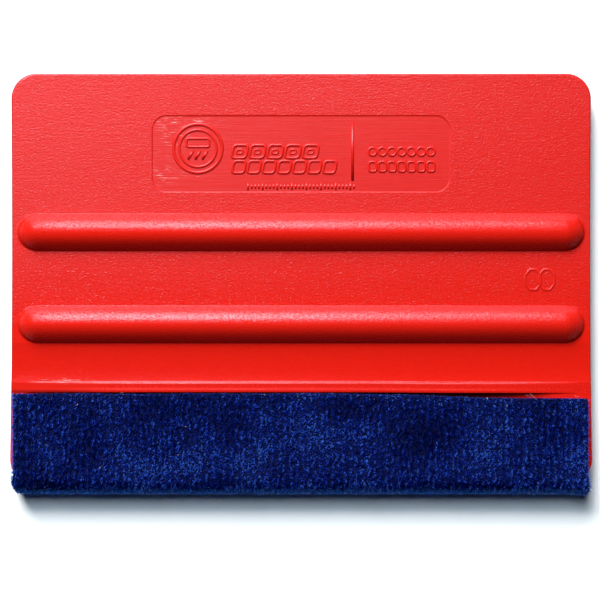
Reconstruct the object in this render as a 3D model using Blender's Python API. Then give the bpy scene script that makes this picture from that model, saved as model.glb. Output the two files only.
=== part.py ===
"""Squeegee applicator: a moulded card with two grip ribs and a velour strip on its working edge.

The applicator lies flat. X runs along the working edge, Y from the working edge to the top edge,
and Z out of the front face. Every piece is drawn in the card's own frame, whose origin is the
middle of the working edge, halfway through the card's thickness. One empty then places that frame
so that the world origin is the centre of the footprint on the table.
"""
import math

import bmesh
import bpy

MM = 0.001

# Card
CARD_HEIGHT = 72.0 * MM
CARD_THICKNESS = 2.4 * MM
HALF_WIDTH_AT_WORKING_EDGE = 51.0 * MM
HALF_WIDTH_AT_WAIST = 50.58 * MM
HALF_WIDTH_AT_TOP = 50.75 * MM
WAIST_Y = 41.0 * MM
CORNER_RADIUS = 4.4 * MM
CORNER_STEPS = 8
SIDE_STEPS = 8
EDGE_ROUNDING = 0.3 * MM
# The extruded blank is longer than the card is wide, and the outline that trims it is a little
# deeper than the card is thick, so that no two faces coincide in the cut
BLANK_HALF_LENGTH = 60.0 * MM
OUTLINE_OVERLAP = 0.05 * MM

# Grip ribs, one elliptical bar through the card for each front and back pair
RIB_CENTRES_Y = (28.05 * MM, 44.15 * MM)
RIB_HALF_LENGTH = 49.6 * MM
RIB_HALF_WIDTH = 3.28 * MM
RIB_RISE = 2.2 * MM
RIB_SEGMENTS = 40
RIB_RINGS = 15

# Stop ridge above the strip, and the shallow hollow between it and the lower rib
STOP_Y = 17.2 * MM
STOP_HALF_LENGTH = 48.5 * MM
STOP_HALF_WIDTH = 0.96 * MM
STOP_RISE = 0.45 * MM
STOP_SEGMENTS = 16
STOP_RINGS = 21
HOLLOW_START_Y = 18.25 * MM
HOLLOW_END_Y = 24.7 * MM
HOLLOW_DEPTH = 0.24 * MM
HOLLOW_STEPS = 8

# Badge recess and the raised marks on its floor
RECESS_Y = 57.9 * MM
RECESS_SIZE = (51.9 * MM, 13.5 * MM)
RECESS_RADIUS = 2.6 * MM
RECESS_DEPTH = 0.25 * MM
MARK_RISE = 0.18 * MM
MARK_ROOT = 0.10 * MM
BADGE_X = -18.0 * MM
BADGE_Y = 58.9 * MM
BADGE_RADII = (4.3 * MM, 3.7 * MM)
# Each bar is (centre x, centre y, width, height, corner radius)
BADGE_BARS = (
    (-18.0 * MM, 60.4 * MM, 4.4 * MM, 0.6 * MM, 0.29 * MM),
    (-18.0 * MM, 58.9 * MM, 3.2 * MM, 0.6 * MM, 0.29 * MM),
    (-18.0 * MM, 57.4 * MM, 2.0 * MM, 0.6 * MM, 0.29 * MM),
)
PANEL_BARS = (
    (-3.0 * MM, 58.3 * MM, 18.0 * MM, 1.9 * MM, 0.5 * MM),
    (-3.0 * MM, 55.8 * MM, 18.0 * MM, 1.9 * MM, 0.5 * MM),
    (17.5 * MM, 58.3 * MM, 11.5 * MM, 1.9 * MM, 0.5 * MM),
    (17.5 * MM, 55.8 * MM, 11.5 * MM, 1.9 * MM, 0.5 * MM),
    (0.0 * MM, 52.2 * MM, 18.6 * MM, 0.9 * MM, 0.4 * MM),
    (9.0 * MM, 58.4 * MM, 0.5 * MM, 10.3 * MM, 0.2 * MM),
)
CAVITY_RING_CENTRE = (41.8 * MM, 35.85 * MM)
CAVITY_RING_RADII = (2.0 * MM, 1.6 * MM)
CAVITY_RING_RISE = 0.15 * MM

# Velour strip, folded round the working edge
STRIP_LEFT_X = -50.4 * MM
STRIP_RIGHT_X = 50.2 * MM
STRIP_THICKNESS = 1.75 * MM
FLAP_TOP_AT_LEFT = 15.95 * MM
FLAP_TOP_AT_RIGHT = 15.1 * MM

# Adhesive film between the strip and the card
FILM_THICKNESS = 0.13 * MM
FILM_GAP = 0.03 * MM
FILM_END_INSET = 0.6 * MM
FILM_TOP_INSET = 0.4 * MM
FOLD_STEPS = 24

# Worked out from the values above
HALF_THICKNESS = CARD_THICKNESS / 2
RIB_HALF_HEIGHT = HALF_THICKNESS + RIB_RISE
RIB_SURFACE_RATIO = math.sqrt(1 - (HALF_THICKNESS / RIB_HALF_HEIGHT) ** 2)
RIB_FULL_HALF_WIDTH = RIB_HALF_WIDTH / RIB_SURFACE_RATIO
FILM_INNER_RADIUS = HALF_THICKNESS + FILM_GAP
FILM_OUTER_RADIUS = FILM_INNER_RADIUS + FILM_THICKNESS
STRIP_INNER_RADIUS = FILM_OUTER_RADIUS + FILM_GAP
STRIP_OUTER_RADIUS = STRIP_INNER_RADIUS + STRIP_THICKNESS
FOLD_CENTRE_Y = HALF_THICKNESS
LOWEST_Y = FOLD_CENTRE_Y - STRIP_OUTER_RADIUS
RECESS_FLOOR_Z = HALF_THICKNESS - RECESS_DEPTH


def clear_scene():
    """Remove every object, so that the script gives the same result wherever it starts."""
    for old_object in list(bpy.data.objects):
        bpy.data.objects.remove(old_object, do_unlink=True)


def new_collection(name):
    """Make a collection in the scene."""
    collection = bpy.data.collections.new(name)
    bpy.context.scene.collection.children.link(collection)
    return collection


def principled(name, colour, roughness):
    """Make a plain Principled material."""
    material = bpy.data.materials.new(name)
    material.use_nodes = True
    shader = material.node_tree.nodes["Principled BSDF"]
    shader.inputs["Base Color"].default_value = (*colour, 1.0)
    shader.inputs["Roughness"].default_value = roughness
    shader.inputs["Metallic"].default_value = 0.0
    return material


def place(obj, collection, card_frame):
    """Put an object in a collection and in the card's frame."""
    collection.objects.link(obj)
    obj.parent = card_frame
    return obj


def arc(centre, radius, start, end, steps):
    """Points along an arc, angles in degrees, both ends included."""
    points = []
    for step in range(steps + 1):
        angle = math.radians(start + (end - start) * step / steps)
        points.append((centre[0] + radius * math.cos(angle), centre[1] + radius * math.sin(angle)))
    return points


def rounded_rectangle(centre, size, radius, steps=6):
    """Outline of a rounded rectangle, counterclockwise."""
    half_x = size[0] / 2 - radius
    half_y = size[1] / 2 - radius
    points = []
    for quarter, (side_x, side_y) in enumerate(((1, 1), (-1, 1), (-1, -1), (1, -1))):
        corner = (centre[0] + side_x * half_x, centre[1] + side_y * half_y)
        points += arc(corner, radius, 90 * quarter, 90 * quarter + 90, steps)
    return points


def outline_solid(name, outlines, extrude, edge_radius=0.0):
    """Mesh object from a filled 2D curve; extra outlines inside the first are holes."""
    curve = bpy.data.curves.new(name, "CURVE")
    curve.dimensions = "2D"
    curve.fill_mode = "BOTH"
    curve.extrude = extrude - edge_radius
    curve.bevel_depth = edge_radius
    curve.bevel_resolution = 2
    curve.offset = -edge_radius
    for outline in outlines:
        spline = curve.splines.new("POLY")
        spline.points.add(len(outline) - 1)
        for point, (x, y) in zip(spline.points, outline):
            point.co = (x, y, 0.0, 1.0)
        spline.use_cyclic_u = True
    drawn = bpy.data.objects.new(name, curve)
    bpy.context.scene.collection.objects.link(drawn)
    bpy.context.view_layer.update()
    evaluated = drawn.evaluated_get(bpy.context.evaluated_depsgraph_get())
    mesh = bpy.data.meshes.new_from_object(evaluated)
    bpy.data.objects.remove(drawn, do_unlink=True)
    bpy.data.curves.remove(curve)
    weld(mesh)
    mesh.name = name
    return bpy.data.objects.new(name, mesh)


def weld(mesh):
    """Join the curve's caps to its sides and turn every face outwards."""
    shape = bmesh.new()
    shape.from_mesh(mesh)
    bmesh.ops.remove_doubles(shape, verts=shape.verts, dist=1e-7)
    bmesh.ops.recalc_face_normals(shape, faces=shape.faces)
    shape.to_mesh(mesh)
    shape.free()


def section_solid(name, outline, half_length):
    """Mesh object from a Y-Z section, extruded both ways along X."""
    solid = outline_solid(name, [outline], half_length)
    solid.rotation_euler = (math.pi / 2, 0.0, math.pi / 2)
    return solid


def add_boolean(obj, operand, operation):
    """Add an exact Boolean and mark its operand as a construction object."""
    operand.hide_render = True
    operand.display_type = "WIRE"
    modifier = obj.modifiers.new(operand.name, "BOOLEAN")
    modifier.operation = operation
    modifier.solver = "EXACT"
    modifier.object = operand


def half_width(y):
    """Half the card's width at a height; the sides draw in slightly towards the ribs."""
    if y < WAIST_Y:
        reach = (WAIST_Y - y) / WAIST_Y
        return HALF_WIDTH_AT_WAIST + (HALF_WIDTH_AT_WORKING_EDGE - HALF_WIDTH_AT_WAIST) * reach**2
    reach = (y - WAIST_Y) / (CARD_HEIGHT - WAIST_Y)
    return HALF_WIDTH_AT_WAIST + (HALF_WIDTH_AT_TOP - HALF_WIDTH_AT_WAIST) * reach**2


def card_outline():
    """The card's outline seen from the front, counterclockwise from the lower right corner."""
    low_y = CORNER_RADIUS
    high_y = CARD_HEIGHT - CORNER_RADIUS
    low_x = half_width(low_y) - CORNER_RADIUS
    high_x = half_width(high_y) - CORNER_RADIUS
    right_side = arc((low_x, low_y), CORNER_RADIUS, -90, 0, CORNER_STEPS)
    for step in range(1, SIDE_STEPS):
        y = low_y + (high_y - low_y) * step / SIDE_STEPS
        right_side.append((half_width(y), y))
    right_side += arc((high_x, high_y), CORNER_RADIUS, 0, 90, CORNER_STEPS)
    left_side = [(-x, y) for x, y in reversed(right_side)]
    return right_side + left_side


def card_section():
    """The card's Y-Z section: a round working edge and a shallow hollow on both faces."""
    half_chord = (HOLLOW_END_Y - HOLLOW_START_Y) / 2
    radius = (half_chord**2 + HOLLOW_DEPTH**2) / (2 * HOLLOW_DEPTH)
    centre_y = (HOLLOW_START_Y + HOLLOW_END_Y) / 2
    centre_z = HALF_THICKNESS + radius - HOLLOW_DEPTH
    swing = math.degrees(math.asin(half_chord / radius))
    hollow = arc((centre_y, centre_z), radius, -90 + swing, -90 - swing, HOLLOW_STEPS)
    front = [(CARD_HEIGHT, HALF_THICKNESS)] + hollow
    edge = arc((FOLD_CENTRE_Y, 0.0), HALF_THICKNESS, 90, 270, FOLD_STEPS)
    back = [(y, -z) for y, z in reversed(front)]
    return front + edge + back


def fold_section(inner_radius, outer_radius):
    """U-shaped Y-Z section round the working edge; its legs end at FLAP_TOP_AT_LEFT."""
    centre = (FOLD_CENTRE_Y, 0.0)
    outer = arc(centre, outer_radius, 90, 270, FOLD_STEPS)
    inner = arc(centre, inner_radius, 270, 90, FOLD_STEPS)
    back_end = [(FLAP_TOP_AT_LEFT, -outer_radius), (FLAP_TOP_AT_LEFT, -inner_radius)]
    front_end = [(FLAP_TOP_AT_LEFT, inner_radius), (FLAP_TOP_AT_LEFT, outer_radius)]
    return outer + back_end + inner + front_end


def folded_band(name, inner_radius, outer_radius, end_inset, top_inset):
    """A band folded round the working edge, its flap edges cut slightly askew."""
    half_length = (STRIP_RIGHT_X - STRIP_LEFT_X) / 2 - end_inset
    middle_x = (STRIP_RIGHT_X + STRIP_LEFT_X) / 2
    band = section_solid(name, fold_section(inner_radius, outer_radius), half_length)
    band.location.x = middle_x
    for vertex in band.data.vertices:
        if vertex.co.x > FLAP_TOP_AT_LEFT / 2:
            across = (middle_x + vertex.co.z - STRIP_LEFT_X) / (STRIP_RIGHT_X - STRIP_LEFT_X)
            cut = FLAP_TOP_AT_LEFT + (FLAP_TOP_AT_RIGHT - FLAP_TOP_AT_LEFT) * across
            vertex.co.x = cut - top_inset
    return band


def rib_bar(index, centre_y):
    """A bar of elliptical section with rounded ends, right through the card.

    The sphere has an odd number of rings, so no ring lies on its equator and its two halves can
    be drawn apart; fill brings the two middle rings out to the full section.
    """
    mesh = bpy.data.meshes.new(f"rib_bar_{index}")
    shape = bmesh.new()
    bmesh.ops.create_uvsphere(shape, u_segments=RIB_SEGMENTS, v_segments=RIB_RINGS, radius=1.0)
    straight = RIB_HALF_LENGTH - RIB_FULL_HALF_WIDTH * RIB_SURFACE_RATIO
    fill = 1 / math.cos(math.pi / (2 * RIB_RINGS))
    for vertex in shape.verts:
        along, across, up = vertex.co.z, vertex.co.y * fill, vertex.co.x * fill
        x = along * RIB_FULL_HALF_WIDTH + math.copysign(straight, along)
        vertex.co = (x, across * RIB_FULL_HALF_WIDTH, up * RIB_HALF_HEIGHT)
    bmesh.ops.recalc_face_normals(shape, faces=shape.faces)
    shape.to_mesh(mesh)
    shape.free()
    bar = bpy.data.objects.new(mesh.name, mesh)
    bar.location.y = centre_y
    return bar


def stop_ridge(name, side):
    """A long low ridge on one face that fades out towards both ends."""
    mesh = bpy.data.meshes.new(name)
    shape = bmesh.new()
    bmesh.ops.create_uvsphere(shape, u_segments=STOP_SEGMENTS, v_segments=STOP_RINGS, radius=1.0)
    fill = 1 / math.cos(math.pi / (2 * STOP_RINGS))
    for vertex in shape.verts:
        along, across, up = vertex.co.z, vertex.co.y * fill, vertex.co.x * fill
        x = math.copysign(math.sqrt(abs(along)), along) * STOP_HALF_LENGTH
        vertex.co = (x, across * STOP_HALF_WIDTH, up * STOP_RISE)
    bmesh.ops.recalc_face_normals(shape, faces=shape.faces)
    shape.to_mesh(mesh)
    shape.free()
    ridge = bpy.data.objects.new(name, mesh)
    ridge.location = (0.0, STOP_Y, side * HALF_THICKNESS)
    return ridge


def circle(centre, radius, steps):
    """Closed round outline."""
    return arc(centre, radius, 0, 360, steps)[:-1]


def raised_mark(name, outlines, floor_z, rise):
    """A flat mark rooted a little below the floor it stands on."""
    half_height = (rise + MARK_ROOT) / 2
    mark = outline_solid(name, outlines, half_height)
    mark.location.z = floor_z + rise - half_height
    return mark


def raised_marks():
    """The generic marks: a ringed badge, bars, a divider and a small cavity ring."""
    badge_ring = [circle((BADGE_X, BADGE_Y), radius, 32) for radius in BADGE_RADII]
    marks = [raised_mark("badge_ring", badge_ring, RECESS_FLOOR_Z, MARK_RISE)]
    for index, (x, y, width, height, radius) in enumerate(BADGE_BARS + PANEL_BARS, start=1):
        bar = rounded_rectangle((x, y), (width, height), radius, steps=3)
        marks.append(raised_mark(f"raised_bar_{index}", [bar], RECESS_FLOOR_Z, MARK_RISE))
    cavity_ring = [circle(CAVITY_RING_CENTRE, radius, 8) for radius in CAVITY_RING_RADII]
    marks.append(raised_mark("cavity_ring", cavity_ring, HALF_THICKNESS, CAVITY_RING_RISE))
    return marks


def make_card(parts, cutters, card_frame):
    """The moulded card: section and outline intersected, then ribs, ridges, recess and marks."""
    blank = section_solid("squeegee_card", card_section(), BLANK_HALF_LENGTH)
    card = place(blank, parts, card_frame)
    outline_half_depth = HALF_THICKNESS + OUTLINE_OVERLAP
    outline = outline_solid("card_outline", [card_outline()], outline_half_depth, EDGE_ROUNDING)
    add_boolean(card, place(outline, cutters, card_frame), "INTERSECT")
    for index, centre_y in enumerate(RIB_CENTRES_Y, start=1):
        add_boolean(card, place(rib_bar(index, centre_y), cutters, card_frame), "UNION")
    for name, side in (("front_stop_ridge", 1), ("back_stop_ridge", -1)):
        add_boolean(card, place(stop_ridge(name, side), cutters, card_frame), "UNION")
    recess_outline = rounded_rectangle((0.0, RECESS_Y), RECESS_SIZE, RECESS_RADIUS)
    recess = outline_solid("badge_recess", [recess_outline], RECESS_DEPTH)
    recess.location.z = RECESS_FLOOR_Z + RECESS_DEPTH
    add_boolean(card, place(recess, cutters, card_frame), "DIFFERENCE")
    for mark in raised_marks():
        add_boolean(card, place(mark, cutters, card_frame), "UNION")
    card.data.materials.append(principled("red_plastic", (0.80, 0.018, 0.012), 0.45))
    return card


def make_strip(parts, card_frame):
    """The velour strip as a plain folded solid."""
    strip = folded_band("velour_strip", STRIP_INNER_RADIUS, STRIP_OUTER_RADIUS, 0.0, 0.0)
    strip.data.materials.append(principled("blue_velour", (0.008, 0.022, 0.16), 0.95))
    return place(strip, parts, card_frame)


def make_film(parts, card_frame):
    """The double-sided tape under the strip."""
    film = folded_band(
        "adhesive_film", FILM_INNER_RADIUS, FILM_OUTER_RADIUS, FILM_END_INSET, FILM_TOP_INSET
    )
    film.data.materials.append(principled("clear_adhesive", (0.75, 0.74, 0.68), 0.35))
    return place(film, parts, card_frame)


def main():
    """Build the applicator."""
    clear_scene()
    parts = new_collection("squeegee_applicator")
    cutters = new_collection("construction")
    card_frame = bpy.data.objects.new("card_frame", None)
    parts.objects.link(card_frame)
    card_frame.location = (0.0, -(CARD_HEIGHT + LOWEST_Y) / 2, RIB_HALF_HEIGHT)
    make_card(parts, cutters, card_frame)
    make_strip(parts, card_frame)
    make_film(parts, card_frame)
    bpy.context.view_layer.update()


main()
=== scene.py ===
"""The looks of the squeegee applicator: moulded red card, raised marks and blue velour strip.

Shapes are worked out in millimetres in the card's own frame (origin in the middle of the working
edge, halfway through the thickness) and are moved into the row frame when a mesh is made.
"""
import math

import bpy
import numpy as np
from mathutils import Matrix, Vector, noise


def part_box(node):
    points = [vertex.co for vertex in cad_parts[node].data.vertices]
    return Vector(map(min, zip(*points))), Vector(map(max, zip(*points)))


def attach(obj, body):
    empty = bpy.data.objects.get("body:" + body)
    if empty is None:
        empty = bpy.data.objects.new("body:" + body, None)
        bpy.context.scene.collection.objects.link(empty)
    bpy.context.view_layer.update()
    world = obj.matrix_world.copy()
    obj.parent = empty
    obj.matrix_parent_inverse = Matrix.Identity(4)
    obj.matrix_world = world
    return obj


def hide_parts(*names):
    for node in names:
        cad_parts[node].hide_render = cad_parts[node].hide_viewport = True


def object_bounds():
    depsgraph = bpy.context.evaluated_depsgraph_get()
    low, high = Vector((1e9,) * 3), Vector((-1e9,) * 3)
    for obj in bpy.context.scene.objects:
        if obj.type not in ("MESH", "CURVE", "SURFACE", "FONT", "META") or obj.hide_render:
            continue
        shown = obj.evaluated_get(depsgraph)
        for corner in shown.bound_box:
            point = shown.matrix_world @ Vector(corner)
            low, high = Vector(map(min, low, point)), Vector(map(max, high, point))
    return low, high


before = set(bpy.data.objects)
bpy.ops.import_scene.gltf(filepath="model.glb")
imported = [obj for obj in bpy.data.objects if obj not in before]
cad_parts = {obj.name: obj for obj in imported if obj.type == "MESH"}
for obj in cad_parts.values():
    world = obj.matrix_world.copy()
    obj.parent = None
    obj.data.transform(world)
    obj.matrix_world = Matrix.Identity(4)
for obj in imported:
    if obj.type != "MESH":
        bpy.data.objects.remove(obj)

CAD_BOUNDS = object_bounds()
MM = 0.001
SEED = 20
BODY = "root"

# ---------------------------------------------------------------------------------------------
# Places taken from the frame
# ---------------------------------------------------------------------------------------------
CARD_LOW, CARD_HIGH = (Vector(corner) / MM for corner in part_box("squeegee_card"))
STRIP_LOW, STRIP_HIGH = (Vector(corner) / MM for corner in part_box("velour_strip"))
CARD_HEIGHT = CARD_HIGH.y - CARD_LOW.y
CARD_ORIGIN = Vector((0.0, CARD_LOW.y, (CARD_LOW.z + CARD_HIGH.z) / 2))
RIB_HALF_HEIGHT = (CARD_HIGH.z - CARD_LOW.z) / 2

# Card, in millimetres
HALF_THICKNESS = 1.2
HALF_WIDTH_AT_WORKING_EDGE = 51.1
HALF_WIDTH_AT_WAIST = 50.68
HALF_WIDTH_AT_TOP = 50.83
WAIST_Y = 41.0
CORNER_RADIUS = 4.4
EDGE_RADIUS = 0.3
WORKING_EDGE_RADIUS = 1.15
RIB_CENTRES_Y = (28.05, 44.15)
RIB_HALF_LENGTH = 49.6
RIB_HALF_WIDTH = 3.28
RIB_END_LENGTH = 3.6
RIB_FILLET = 0.04
RIB_FULLNESS = 0.20
STOP_LOW_Y, STOP_HIGH_Y = 16.0, 18.04
STOP_HALF_LENGTH = 48.6
STOP_RISE = 0.28
STOP_LIP_Y = 16.50
STOP_LIP_RISE = 0.075
HOLLOW_LOW_Y, HOLLOW_HIGH_Y = 17.85, 24.75
HOLLOW_DEEPEST_Y = 20.4
HOLLOW_DEPTH = 0.18
RECESS_Y = 57.9
RECESS_HALF = (26.15, 6.75)
RECESS_RADIUS = 2.6
RECESS_DEPTH = 0.11
RECESS_WALL = 0.17
SEAT_DROP = 0.62
RECESS_FLOOR_Z = HALF_THICKNESS - RECESS_DEPTH

# Scuffed patches on the front: centre, reach along X and Y, amount
SCUFFS = (
    (-20.8, 63.4, 4.4, 0.8, 1.0),
    (-22.6, 60.9, 2.0, 1.0, 1.0),
    (-25.0, 57.5, 1.4, 2.6, 0.35),
    (-24.2, 54.2, 1.7, 1.2, 0.85),
    (-18.8, 54.4, 4.0, 0.7, 0.5),
    (-41.0, 18.2, 5.5, 0.35, 0.9),
)

# Cross-section of a raised line: (offset as a part of the half width, height as a part of the rise)
STROKE_PROFILE = (
    (1.0, -0.4), (0.92, 0.35), (0.66, 0.82), (0.28, 1.0),
    (-0.28, 1.0), (-0.66, 0.82), (-0.92, 0.35), (-1.0, -0.4),
)

# Velour strip, in millimetres
STRIP_LEFT_X = STRIP_LOW.x
STRIP_RIGHT_X = STRIP_HIGH.x
STRIP_OUTER_RADIUS = (STRIP_HIGH.z - STRIP_LOW.z) / 2
FLAP_TOP_AT_LEFT = STRIP_HIGH.y - CARD_ORIGIN.y
FLAP_TOP_AT_RIGHT = FLAP_TOP_AT_LEFT - 0.85
STRIP_INNER_RADIUS = 1.39
FOLD_CENTRE_Y = HALF_THICKNESS
# Brushed strokes in the pile: centre X and Y, reach along X and Y, amount; they tilt the tufts and paint sheen
# into their colour.
NAP_STROKES = (
    (-21.0, 3.6, 13.0, 2.6, 1.0),
    (0.0, 6.6, 9.0, 2.8, 0.6),
    (21.0, 10.0, 7.0, 3.5, -0.6),
    (12.0, 13.5, 9.0, 1.8, -0.6),
    (47.0, 2.0, 5.0, 4.5, 0.9),
    (35.0, 12.0, 8.0, 4.0, -0.4),
    (-3.0, 14.5, 5.0, 2.5, -0.4),
    (-47.5, 7.5, 4.0, 4.0, -0.35),
    (2.0, 4.5, 6.0, 3.0, 0.25),
    (-42.0, -0.4, 9.0, 1.4, -0.3),
    (30.0, -0.2, 14.0, 1.3, -0.15),
)
# Loose pale threads on the strip's cut edge: root, direction, length
THREADS = (
    (39.2, 15.75, 2.95, 1.0, -0.50, 0.15, 1.9),
    (39.9, 15.95, 2.90, 0.8, -0.75, 0.10, 1.5),
    (47.6, 15.60, 2.90, 1.0, -0.15, 0.20, 1.0),
    (-31.5, 16.05, 2.85, 0.9, 0.20, 0.25, 0.7),
    (5.2, 15.95, 2.90, 1.0, 0.15, 0.20, 0.6),
)


# ---------------------------------------------------------------------------------------------
# Small helpers
# ---------------------------------------------------------------------------------------------
def smooth_step(edge_low, edge_high, value):
    """0 below edge_low, 1 above edge_high, smooth in between."""
    t = np.clip((value - edge_low) / (edge_high - edge_low), 0.0, 1.0)
    return t * t * (3 - 2 * t)


def smooth_max(a, b, width):
    """The larger of two heights, with a small fillet where they cross."""
    overlap = np.maximum(width - np.abs(a - b), 0.0) / width
    return np.maximum(a, b) + overlap * overlap * width / 4


def ticks(*spans):
    """Sorted grid lines from (start, end, step) spans."""
    values = []
    for start, end, step in spans:
        count = max(1, round((end - start) / step))
        values.extend(start + (end - start) * k / count for k in range(count + 1))
    values.sort()
    kept = [values[0]]
    for value in values[1:]:
        if value - kept[-1] > 0.015:
            kept.append(value)
    return np.array(kept)


def mesh_object(name, vertices, faces, material, smooth=True):
    """Mesh object in the row frame from card-frame millimetres; faces is a list of index arrays."""
    placed = (np.asarray(vertices, float) + np.array(CARD_ORIGIN)) * MM
    mesh = bpy.data.meshes.new(name)
    mesh.vertices.add(len(placed))
    mesh.vertices.foreach_set("co", placed.astype(np.float32).ravel())
    corners = np.concatenate([block.ravel() for block in faces])
    sizes = np.concatenate([np.full(len(block), block.shape[1]) for block in faces])
    starts = np.concatenate([[0], np.cumsum(sizes)[:-1]])
    mesh.loops.add(len(corners))
    mesh.loops.foreach_set("vertex_index", corners.astype(np.int32))
    mesh.polygons.add(len(sizes))
    mesh.polygons.foreach_set("loop_start", starts.astype(np.int32))
    mesh.polygons.foreach_set("loop_total", sizes.astype(np.int32))
    mesh.polygons.foreach_set("use_smooth", np.full(len(sizes), smooth))
    mesh.update(calc_edges=True)
    mesh.materials.append(material)
    obj = bpy.data.objects.new(name, mesh)
    bpy.context.scene.collection.objects.link(obj)
    return obj


def add_attribute(obj, name, values):
    """Store one number per vertex for the material to read."""
    layer = obj.data.attributes.new(name, "FLOAT", "POINT")
    layer.data.foreach_set("value", np.asarray(values, np.float32))


# ---------------------------------------------------------------------------------------------
# Card shape
# ---------------------------------------------------------------------------------------------
def side_x(y):
    """Half the card's width without its corners; the sides draw in slightly towards the ribs."""
    low = np.clip((WAIST_Y - y) / WAIST_Y, 0.0, 1.0)
    high = np.clip((y - WAIST_Y) / (CARD_HEIGHT - WAIST_Y), 0.0, 1.0)
    from_low = (HALF_WIDTH_AT_WORKING_EDGE - HALF_WIDTH_AT_WAIST) * low**2
    from_high = (HALF_WIDTH_AT_TOP - HALF_WIDTH_AT_WAIST) * high**2
    return HALF_WIDTH_AT_WAIST + from_low + from_high


def corner_centre_y(y):
    """Y of the corner arc's centre for rows in a corner, else the row's own Y."""
    return np.clip(y, CORNER_RADIUS, CARD_HEIGHT - CORNER_RADIUS)


def outline_x(y):
    """Half the card's width with its rounded corners."""
    centre_y = corner_centre_y(y)
    reach = np.sqrt(np.maximum(CORNER_RADIUS**2 - (y - centre_y) ** 2, 0.0))
    return side_x(centre_y) - CORNER_RADIUS + reach


def edge_drop(x, y):
    """How far the face falls away next to the outline: small radius, fuller at the working edge."""
    centre_y = corner_centre_y(y)
    centre_x = side_x(centre_y) - CORNER_RADIUS
    beyond_x = np.abs(x) - centre_x
    beyond_y = np.abs(y - centre_y)
    in_corner = (beyond_x > 0) & (beyond_y > 0)
    reach = np.hypot(np.maximum(beyond_x, 0.0), beyond_y)
    to_arc = CORNER_RADIUS - reach
    to_side = CORNER_RADIUS - beyond_x
    to_end = np.minimum(y, CARD_HEIGHT - y)
    distance = np.where(in_corner, to_arc, np.minimum(to_side, to_end))
    turn = np.arctan2(beyond_y, np.maximum(beyond_x, 1e-6)) / (math.pi / 2)
    fullness = np.where(y < CORNER_RADIUS, np.where(in_corner, turn, to_end < to_side), 0.0)
    radius = EDGE_RADIUS + (WORKING_EDGE_RADIUS - EDGE_RADIUS) * fullness**2
    inside = np.clip(distance, 0.0, radius)
    return radius - np.sqrt(np.maximum(radius**2 - (radius - inside) ** 2, 0.0))


def rib_height(x, y, centre_y):
    """Height of one rib above the middle plane: a rounded bar with rounded ends."""
    straight = RIB_HALF_LENGTH - RIB_END_LENGTH
    across = (y - centre_y) / RIB_HALF_WIDTH
    along = np.maximum(np.abs(x) - straight, 0.0) / RIB_END_LENGTH
    inside = 1 - across**2 - along**2
    rounded = np.sqrt(np.maximum(inside, 0.0))
    crown = inside + RIB_FULLNESS * (rounded - inside) * (inside > 0)
    return HALF_THICKNESS + (RIB_HALF_HEIGHT - HALF_THICKNESS) * np.maximum(crown, -1.0)


def stop_sag(x):
    """The stop ridge runs a little lower on the right."""
    return 0.12 * smooth_step(8.0, 30.0, x)


def stop_height(x, y):
    """Rise of the stop ridge: full along the middle, fading out towards both ends."""
    y = y + stop_sag(x)
    t = (y - STOP_LOW_Y) / (STOP_HIGH_Y - STOP_LOW_Y)
    inside = np.clip(t, 0.0, 1.0)
    low_side = np.clip(inside / 0.11, 0.0, 1.0)
    high_side = np.clip((1 - inside) / 0.22, 0.0, 1.0)
    shape = np.sqrt(1 - (1 - low_side) ** 2) * (1 - (1 - high_side) ** 2) ** 0.8
    lip = STOP_LIP_RISE * np.exp(-(((y - STOP_LIP_Y) / 0.30) ** 2)) * (t > 0)
    return (STOP_RISE * shape + lip * np.minimum(low_side, 1.0)) * stop_fade(x)


def stop_fade(x):
    """1 along the middle of the stop ridge, 0 at its ends."""
    along = np.clip(1 - np.abs(x) / STOP_HALF_LENGTH, 0.0, 1.0)
    return smooth_step(0.0, 0.40, along) * 0.75 + 0.25 * np.sqrt(smooth_step(0.0, 0.06, along))


def seat_drop(x, y):
    """The seat of the strip lies a little lower than the face, except at the ends of the ridge."""
    below = 1 - smooth_step(STOP_LOW_Y - 0.02, STOP_LOW_Y + 0.14, y + stop_sag(x))
    return SEAT_DROP * below * stop_fade(x) * smooth_step(47.0, 40.0, x)


def hollow_depth(y):
    """Depth of the shallow hollow between the stop ridge and the lower rib."""
    above = (y - HOLLOW_DEEPEST_Y) / (HOLLOW_HIGH_Y - HOLLOW_DEEPEST_Y)
    below = (HOLLOW_DEEPEST_Y - y) / (HOLLOW_DEEPEST_Y - HOLLOW_LOW_Y)
    return HOLLOW_DEPTH * np.maximum(1 - np.maximum(above, below) ** 2, 0.0)


def recess_inset(x, y):
    """Distance inside the badge recess's outline, negative outside it."""
    beyond_x = np.abs(x) - (RECESS_HALF[0] - RECESS_RADIUS)
    beyond_y = np.abs(y - RECESS_Y) - (RECESS_HALF[1] - RECESS_RADIUS)
    outside = np.hypot(np.maximum(beyond_x, 0.0), np.maximum(beyond_y, 0.0))
    inside = np.minimum(np.maximum(beyond_x, beyond_y), 0.0)
    return RECESS_RADIUS - (outside + inside)


def face_height(x, y, front):
    """Height of the card's face above its middle plane."""
    height = HALF_THICKNESS - hollow_depth(y) + stop_height(x, y) - seat_drop(x, y)
    for centre_y in RIB_CENTRES_Y:
        height = smooth_max(height, rib_height(x, y, centre_y), RIB_FILLET)
    if front:
        height = height - RECESS_DEPTH * smooth_step(0.0, RECESS_WALL, recess_inset(x, y))
    return height - edge_drop(x, y)


def card_columns():
    """Grid columns from the middle to the right: inner lines, then distances from the outline."""
    recess_x = RECESS_HALF[0]
    straight = RIB_HALF_LENGTH - RIB_END_LENGTH
    inner = ticks(
        (0.0, recess_x - RECESS_RADIUS, 2.3),
        (recess_x - RECESS_RADIUS, recess_x + 0.1, 0.075),
        (recess_x + 0.1, straight, 2.0),
        (straight, RIB_HALF_LENGTH + 0.15, 0.16),
    )
    edge = np.array([0.34, 0.26, 0.19, 0.125, 0.07, 0.025, 0.0])
    return inner, edge


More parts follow.
